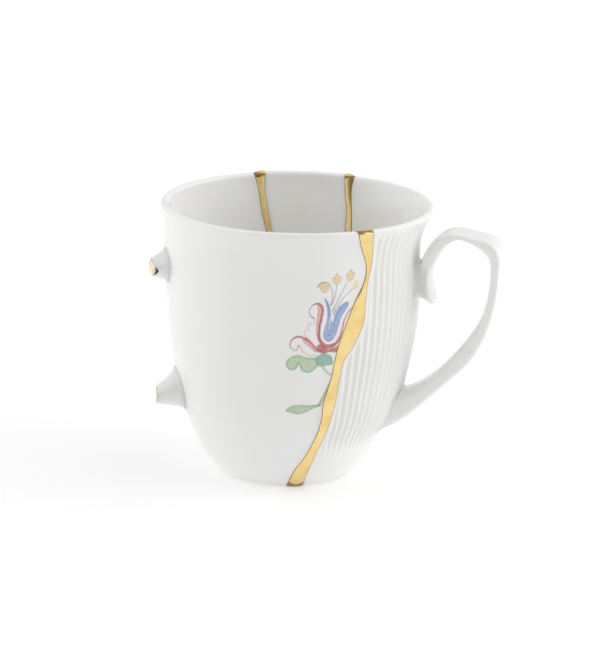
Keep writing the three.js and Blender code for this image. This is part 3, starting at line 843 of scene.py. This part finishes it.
def strap_distance(points):
    """How far a point lies outside the strap, in the plane of the section nearest to it."""
    x, y, z = np.moveaxis(points, -1, 0)
    away = (x[..., None] - path_middle[0]) ** 2 + (z[..., None] - path_middle[1]) ** 2
    i = away.argmin(axis=-1)
    dx, dz = x - path_middle[0, i], z - path_middle[1, i]
    across = dz * path_along[0, i] - dx * path_along[1, i]
    past = np.where(i == 0, np.maximum(0, -(dx * path_along[0, i] + dz * path_along[1, i])), 0)
    side = oval_distance(y, across, path_width[i], path_thickness[i], HANDLE_SQUARE)
    return np.hypot(side.clip(0), past) + np.minimum(side, 0)


def root_size(share):
    return ROOT_HEIGHT * curve(ROOT_SECTION, 1)(share), ROOT_WIDTH * curve(ROOT_SECTION, 2)(share)


def root_distance(points):
    """How far a point lies outside the block between the wall and the strap's upper root."""
    x, y, z = np.moveaxis(points, -1, 0)
    curved = np.sqrt(np.maximum(wall_radius(z, 0) ** 2 - y**2, 0))
    out = x - curved
    tall, wide = root_size(out / ROOT_LENGTH)
    side = oval_distance(y, z - (HEIGHT - ROOT_DROP), wide, tall, HANDLE_SQUARE)
    end = out - ROOT_LENGTH
    return np.maximum(side, end)


ribbed_heights = np.concatenate([
    np.linspace(FOOT_EDGE, 12, 12)[:-1], np.linspace(12, 38, 44)[:-1], np.linspace(38, 60, 18)[:-1],
    np.linspace(60, 84, 42)[:-1], np.linspace(84, LIP_BASE, 14)])
ribbed_rows = places(ribbed_heights)
ribbed_keep = np.flatnonzero((np.arange(len(ribbed_rows)) % 3 == 0) | (ribbed_rows < 2) | (ribbed_rows > 2.9))
ribbed_outer, ribbed_inner = shard(ribbed_rows, ribbed_keep, upright)
flat_wall = ribbed_outer.reshape(-1, 3)
limbs = [root_distance, strap_distance]
wall_up = ribbed_rows >= 2
melted = melt(flat_wall, wall_distance, limbs, SLIP)
# Only the wall takes the slip, not the foot. The ribs fade out where the handle stands on the wall.
melted = np.where(np.repeat(wall_up, ribbed_outer.shape[1])[:, None], melted, flat_wall)
clear = smoothstep(np.min([limb(flat_wall) for limb in limbs], axis=0), 0.2, 1.5)
wall_angle = np.degrees(np.arctan2(flat_wall[:, 1], flat_wall[:, 0]))
cut = groove(flat_wall[:, 2], wall_angle) * clear
melted[:, :2] -= cut[:, None] * flat_wall[:, :2] / np.hypot(flat_wall[:, 0], flat_wall[:, 1])[:, None]
ribbed_outer = melted.reshape(ribbed_outer.shape)

bend = np.linspace(0, 2 * np.pi, HANDLE_SIDES, endpoint=False)
square_x = np.sign(np.cos(bend)) * np.abs(np.cos(bend)) ** (2 / HANDLE_SQUARE)
square_y = np.sign(np.sin(bend)) * np.abs(np.sin(bend)) ** (2 / HANDLE_SQUARE)


def strap_rings(t, grow=1, past=0):
    """Squared ovals across the strap's path, scaled about their middle and set back along it."""
    middle, along, thickness, width = strap_path(t)
    across = (thickness / 2 * grow)[:, None] * square_y
    middle = middle - past * along
    return np.stack([
        middle[0][:, None] - across * along[1][:, None],
        (width / 2 * grow)[:, None] * square_x,
        middle[1][:, None] + across * along[0][:, None],
    ], axis=-1)


tip = np.linspace(0, 1, 10)[:-1][::-1]
tip_rings = strap_rings(0 * tip, np.sqrt(1 - tip**2), TIP_LENGTH * tip)
strap = np.concatenate([tip_rings, strap_rings(np.linspace(0, len(STRAP) - 1, 230))[1:]])
depth = wall_distance(strap)
slipped = melt(strap.reshape(-1, 3), strap_distance, [wall_distance, root_distance], SLIP).reshape(strap.shape)
reach = smoothstep(np.arange(len(strap)), len(tip) + 3, len(tip) + 12)  # the free end stays clear of the slip
strap = strap + reach[:, None, None] * (slipped - strap)
buried = depth < -BURIED
strap[buried] -= (depth[buried] + BURIED)[:, None] * np.array([1, 0, 0])

share = np.linspace(-0.25, 1, 30)[:, None]
root_tall, root_wide = root_size(share)
root_y = root_wide / 2 * square_x
root_z = HEIGHT - ROOT_DROP + root_tall / 2 * square_y
root_x = np.sqrt(wall_radius(root_z, 0) ** 2 - root_y**2) + share * ROOT_LENGTH
root = np.stack([root_x, root_y, root_z], axis=-1)
root = melt(root.reshape(-1, 3), root_distance, [wall_distance, strap_distance], SLIP).reshape(root.shape)

ribbed_china = glazed_china("ribbed bone china", "F6F6F4", "F2F2EF", ripple=0.06, translucent=0.14)
ribbed_parts = join(shell(ribbed_outer, ribbed_inner, ribbed_keep), tube(strap), tube(root))
make_piece("ribbed_shard_china", ribbed_parts, ribbed_china, ["ribbed_shard"])


# Gold seams.
# Filler between the shards, built up a hair proud of the china inside and out, brushed with lacquer and laid
# with gold leaf. They run from one hub in the floor out to the rim.
CROWN = 0.22  # how far the middle of a seam stands proud
EDGE_PLUNGE = 0.06  # how far its rim lies under the china's face
LIP_PAINTED_REFLECTION = 0.4  # how far below the lip's top the band of painted dark reflection lies
FOOT_PAINTED_REFLECTION = 0.9  # how far above the bottom the band of painted dark reflection lies


def seam_arm(seam, rows, rise_from=0, rise_to=0):
    """A seam from the hub to the rim, inside and out. Across it the surface stands proud by one less the
    square of the share of the way from its middle to its edge, and drops under the china's face at its rim.
    Along the lip and round the foot its margin is drawn in, so a band of the lacquer's colour shows there: a
    painted dark reflection."""
    edge = np.array([1, 0.985, 0.95, 0.9, 0.82, 0.7])
    across = np.concatenate([-edge, np.linspace(-0.55, 0.55, 9), edge[::-1]])
    grids, margins = [], []
    for surface, out in ((outside, 1), (inside, -1)):
        place = rows[:, None]
        middle = np.zeros((len(rows), 1))
        for _ in range(4):
            radius, z = surface(place, middle)
            middle = curve(seam)(z / HEIGHT)
        half = seam_half(seam, radius, z)
        angle = middle + np.degrees(np.arcsin(across * half / radius))
        radius, z = surface(place, angle)
        rise = rise_from + (rise_to - rise_from) * smoothstep(across, -1, 1)
        z = z + rise * smoothstep(z, HEIGHT - 6, HEIGHT - 1)
        grid = polar(radius, angle, z)
        proud = CROWN * (1 - across**2) * np.clip(half / 1.5, 0.5, 1.2)
        proud = proud - EDGE_PLUNGE * smoothstep(np.abs(across), 0.9, 1)
        grid = grid + out * proud[..., None] * normals(grid)
        grid[..., 2] = np.maximum(grid[..., 2], 0)  # flush under the foot, so that the mug stands on its ring
        grids.append(grid)
        # Bands of painted dark reflection along the lip and round the foot, where the leaf's margin is drawn in
        # to the lacquer's colour.
        lip_reflection_band = np.exp(-(((z - HEIGHT + LIP_PAINTED_REFLECTION) / 0.35) ** 2))
        painted_reflection_bands = lip_reflection_band + np.exp(-(((z - FOOT_PAINTED_REFLECTION) / 1.1) ** 2))
        margins.append(half * (1 - np.abs(across)) - 4.5 * np.clip(painted_reflection_bands - 0.15, 0, 1))
    grids[1][-1] = grids[0][-1]
    return grids, margins


seam_rows = places(np.linspace(FOOT_EDGE, LIP_BASE, 190))
seam_keep = np.arange(len(seam_rows))
arms, margin = [], []
for seam, low, high in ((FRONT_SEAM, 0, 0), (RIGHT_SEAM, 0, BACK_RISE), (LEFT_SEAM, BACK_RISE, 0)):
    (arm_outer, arm_inner), (outer_margin, inner_margin) = seam_arm(seam, seam_rows, low, high)
    arms.append(shell(arm_outer, arm_inner, seam_keep))
    margin += [outer_margin.ravel(), inner_margin[:-1][::-1].ravel()]
# The hub, as shares of its radius and heights, from under the recess to over the floor.
hub_rows = np.array([
    (0.3, FOOT_RECESS - 0.1), (0.9, FOOT_RECESS - 0.06), (1, FOOT_RECESS),
    (1, FLOOR_TOP), (0.95, FLOOR_TOP + 0.1), (0.8, FLOOR_TOP + 0.16), (0.4, FLOOR_TOP + 0.22),
])[..., None]
hub = polar(HUB_RADIUS * hub_rows[:, 0], np.linspace(0, 360, 96, endpoint=False), hub_rows[:, 1])
arms.append(tube(hub))
margin.append(np.full(len(arms[-1][0]), 2.0))


def gold_leaf(name, pale, deep, lacquer_and_shade):
    """Gold leaf burnished over lacquer: a warm mirror, soft where the brush ridged the lacquer, redder where
    the leaf is thin. Where it meets the china a thin ragged brown line shows, partly lacquer and partly painted
    shade of the crease; where the margin is drawn in, the same colour paints shade and dark reflections."""
    material, tree = new_material(name)
    coords = add_node(tree, "ShaderNodeTexCoord").outputs["Object"]
    cloud = noise(tree, coords, 160, 4)  # 6 mm patches
    color = mixed(tree, mapped(tree, cloud, 0.32, 0.62), rgba(deep), rgba(pale))
    margin_mm = add_node(tree, "ShaderNodeAttribute", attribute_name="margin_mm").outputs["Fac"]
    wobble = noise(tree, coords, 700, 2)  # 1.4 mm waver
    ragged = add_node(tree, "ShaderNodeMath", {0: wobble, 1: 0.16, 2: margin_mm}, operation="MULTIPLY_ADD")
    leaf = mapped(tree, ragged.outputs[0], 0.11, 0.2)
    # The lacquer's colour: real lacquer along the edges, darkened as painted shade of the crease, and painted
    # shade and dark reflection where the margin is drawn in.
    color = mixed(tree, leaf, rgba(lacquer_and_shade), color)
    ridges = noise(tree, coords, 320, 3)  # 3 mm brush ridges
    bump = add_node(tree, "ShaderNodeBump", {"Height": ridges, "Strength": 0.4, "Distance": 0.0002})
    rough = mapped(tree, cloud, 0.3, 0.7, 0.28, 0.18)
    surface = add_node(tree, "ShaderNodeBsdfPrincipled", {
        "Base Color": color, "Metallic": leaf, "Roughness": rough, "Normal": bump.outputs["Normal"]})
    add_node(tree, "ShaderNodeOutputMaterial", {"Surface": surface.outputs["BSDF"]})
    return material


def lay_margin(piece, distance):
    """Stores at each point how far it is from the edge of the gold, in mm, drawn in where painted shade and
    dark reflections take the lacquer's colour.
    """
    margin_mm = piece.data.attributes.new("margin_mm", "FLOAT", "POINT")
    margin_mm.data.foreach_set("value", distance.astype(np.float32))


seam_gold = gold_leaf("gold leaf on seams", "F4DA98", "ECCB84", "9C7642")
seam_piece = make_piece("gold_seam_leaf", join(*arms), seam_gold, ["gold_seam"])
lay_margin(seam_piece, np.concatenate(margin))


# Gold caps on the stumps.
# The broken ends were sealed with the same lacquer and a paler leaf, a thin skin that laps back over the
# china by a wandering edge. On the upper stump a tongue of dark brown runs further back: a painted shadow,
# drawn in the lacquer's colour.
CAP_SKIN = 0.1  # how thick the leaf and its lacquer lie on the china
CAP_SINK = 0.08  # how far its edge is let in, so that the china closes over it
SHADOW_TONGUE_TURN = -0.12  # where the tongue of painted shadow lies round the stump, in radians from its level side
# How narrow the tongue of painted shadow is round the stump.
SHADOW_TONGUE_FALL = 0.05

# Its lacquer's colour, darker than the seams', is also the painted shadow of the upper stump's tongue.
cap_gold = gold_leaf("gold leaf on stumps", "F0E3BC", "D6C08C", "4E3A2C")
round_stump = np.linspace(0, 2 * np.pi, SIDES, endpoint=False)
for stump, name, lap, tongue in ((UPPER_STUMP, "upper", 0.6, 1.5), (LOWER_STUMP, "lower", 0.45, 0)):
    # The lap is a steady length with two slow waves, and the tongue of painted shadow a narrow bell round one
    # angle.
    tongue = tongue * np.exp((np.cos(round_stump - SHADOW_TONGUE_TURN) - 1) / SHADOW_TONGUE_FALL)
    lap = lap * (1 + 0.3 * np.sin(3 * round_stump + 1.2) + 0.2 * np.sin(7 * round_stump)) + tongue
    share = np.linspace(0, 1, 20)[:, None]
    back = -0.15 - (lap - 0.15) * (1 - np.sin(share * np.pi / 2))
    # Sine and cosine of the turn of the end's rounding, which the skin follows.
    sine = np.clip((back + STUMP_END) / END_DEPTH, 0, 1)
    cosine = np.sqrt(1 - sine**2)
    skin = (CAP_SKIN + CAP_SINK) * smoothstep(share, 0, 0.2) - CAP_SINK
    out = np.concatenate([stump["length"] + back + skin * sine, np.full((3, SIDES), stump["length"] - 0.05)])
    face = np.array([[-1.3], [-1.9], [-2.5]]) + 0 * lap
    grow = np.concatenate([END_ROUND * (cosine - 1) + skin * cosine, face])
    rings = turned(stump_rings(stump, out, grow), STUMP_ANGLE)
    cap = make_piece(f"gold_cap_{name}_leaf", tube(rings), cap_gold, [f"gold_cap_{name}"])
    # The tongue draws the margin in, so its painted shadow takes the lacquer's colour.
    inward = np.concatenate([back + lap - 0.85 * tongue, lap + np.array([[0.3], [0.9], [1.5]])])
    lay_margin(cap, np.append(inward.ravel(), [inward[0].mean(), inward[-1].mean()]))


# Studio: a table of white acrylic lit from under, in a white tent lit from its sides, most of all from the
# right, and dark towards the camera, with one small soft box by the camera's left shoulder. The camera stands
# where the photograph was taken from, worked out from the rim, the foot and the handle.
FLOOR_RADIUS = 6  # metres, so that its edge lies far out of sight

floor_mesh = bpy.data.meshes.new("studio_floor")
disc = polar(FLOOR_RADIUS, np.linspace(0, 360, 96, endpoint=False), 0)
floor_mesh.from_pydata(disc.tolist(), [], [list(range(len(disc)))])
floor = add_object("studio_floor", floor_mesh)
acrylic, tree = new_material("white acrylic lit from under")
sheet = add_node(tree, "ShaderNodeBsdfPrincipled", {
    "Base Color": rgba("C4C4C4"), "Roughness": 0.9, "Emission Color": (1, 1, 1, 1), "Emission Strength": 0.48})
add_node(tree, "ShaderNodeOutputMaterial", {"Surface": sheet.outputs["BSDF"]})
floor_mesh.materials.append(acrylic)

CAMERA_TURN = 13
CAMERA_ELEVATION = 16.104
CAMERA_ROLL = 1.309
CAMERA_DISTANCE = 1200
CAMERA_TARGET = (4.12, 49.86)
CAMERA_LENS = 187.85
# Light of the tent: the middle of each patch, as the camera sees it (to its right, away from it, up), and how
# strong it is. A patch fades with a power of the cosine of the angle from its middle.
TENT_FALL = 6
TENT = [
    ((0, 0, 1), 0.54), ((0, -0.7, 0.7), 0.1), ((0, 0.7, 0.7), 0.38), ((0, 1, 0.15), 0.32),
    ((-1, 0, 0.2), 0.8), ((-0.75, -0.1, 0.65), 1.16), ((-0.7, 0.7, 0.15), 0.78), ((-0.7, -0.7, 0.25), 0.12),
    ((1, 0, 0.2), 1.27), ((0.75, -0.1, 0.65), 1.78), ((0.7, 0.7, 0.15), 0.74),
]

world = bpy.data.worlds.new("white tent")
bpy.context.scene.world = world
world.use_nodes = True
world.node_tree.nodes.clear()
tree = world.node_tree
direction = add_node(tree, "ShaderNodeTexCoord").outputs["Generated"]
glow = 0
for way, level in TENT:
    way = turned(np.array(way, float) / np.linalg.norm(way), CAMERA_TURN)
    dot = add_node(tree, "ShaderNodeVectorMath", {0: direction, 1: tuple(way)}, operation="DOT_PRODUCT")
    facing = add_node(tree, "ShaderNodeMath", {0: dot.outputs["Value"], 1: 0}, operation="MAXIMUM")
    patch = add_node(tree, "ShaderNodeMath", {0: facing.outputs[0], 1: TENT_FALL}, operation="POWER").outputs[0]
    glow = add_node(tree, "ShaderNodeMath", {0: patch, 1: level, 2: glow}, operation="MULTIPLY_ADD").outputs[0]
backdrop = add_node(tree, "ShaderNodeBackground", {"Color": (1, 1, 1, 1), "Strength": glow})
add_node(tree, "ShaderNodeOutputWorld", {"Surface": backdrop.outputs["Background"]})


def set_up(piece, right, up, back, place):
    """Stands a lamp or camera at a place, with its own x, y and z axes along right, up and back."""
    piece.matrix_world = Matrix(np.column_stack([right, up, back, place]).tolist() + [[0, 0, 0, 1]])


def soft_box(name, place, target, size, power):
    """A flat square lamp at a place, facing a target."""
    light = bpy.data.lights.new(name, "AREA")
    light.shape = "SQUARE"
    light.size = size
    light.energy = power
    back = place - target
    back /= np.linalg.norm(back)
    right = np.cross((0, 0, 1), back)
    right /= np.linalg.norm(right)
    set_up(add_object(name, light), right, np.cross(back, right), back, place)


def from_camera(side, away, up):
    """A point in the frame, in metres: to the camera's right, away from the camera, and up."""
    return turned(np.array([side, away, up], float), CAMERA_TURN)


soft_box("left_box", from_camera(-0.9, -0.75, 0.8), from_camera(0, 0, 0.05), 0.22, 0.3)

camera_data = bpy.data.cameras.new("photo_camera")
camera = add_object("photo_camera", camera_data)
camera_data.sensor_fit = "VERTICAL"
camera_data.sensor_height = 36
camera_data.lens = CAMERA_LENS
camera_data.clip_start, camera_data.clip_end = 0.05, 30
tilt, roll = np.radians(CAMERA_ELEVATION), np.radians(CAMERA_ROLL)
level = np.array([1, 0, 0])
forward = np.array([0, np.cos(tilt), -np.sin(tilt)])
upward = np.array([0, np.sin(tilt), np.cos(tilt)])
axes = [np.cos(roll) * level + np.sin(roll) * upward, np.cos(roll) * upward - np.sin(roll) * level, -forward]
stand = np.array([CAMERA_TARGET[0], 0, CAMERA_TARGET[1]]) - CAMERA_DISTANCE * forward
stand = (turned(stand, CAMERA_TURN) + MUG_AXIS) * 0.001
set_up(camera, *turned(np.stack(axes), CAMERA_TURN), stand)
bpy.context.scene.camera = camera
bpy.context.scene.view_settings.view_transform = "Standard"

import json
